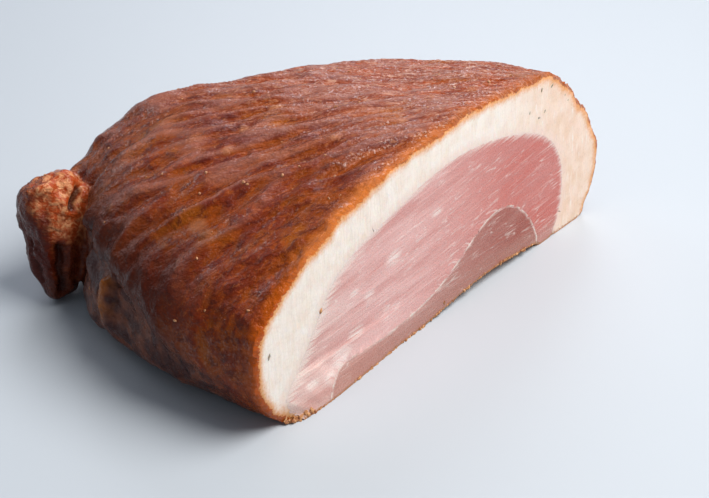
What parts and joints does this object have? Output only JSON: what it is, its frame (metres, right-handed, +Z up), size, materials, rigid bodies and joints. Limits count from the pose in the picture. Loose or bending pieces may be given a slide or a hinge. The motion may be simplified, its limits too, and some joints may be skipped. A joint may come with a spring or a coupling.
{
  "type": "smoked duck breast piece",
  "caption": "Cut piece of smoked duck breast lying skin side up: domed browned skin over thick fat, with lean meat and an inner fillet showing at a flat cut face, and a shrivelled end.",
  "frame": {"origin": "middle of the bounding box on the table plane, under the piece", "axes": "+X along the cut face towards its pointed end, +Y from the cut face back to the rounded end, +Z up"},
  "size_m": [0.1176, 0.0798, 0.0421],
  "materials": {
    "browned_skin": "oily browned poultry skin over pale cream fat",
    "cured_lean": "moist satin pink meat with fine grain",
    "inner_fillet_lean": "moist satin pale pink meat with fine grain"
  },
  "bodies": {
    "root": {"skin_and_fat": "browned_skin", "breast_meat": "cured_lean", "inner_fillet": "inner_fillet_lean"}
  },
  "joints": []
}
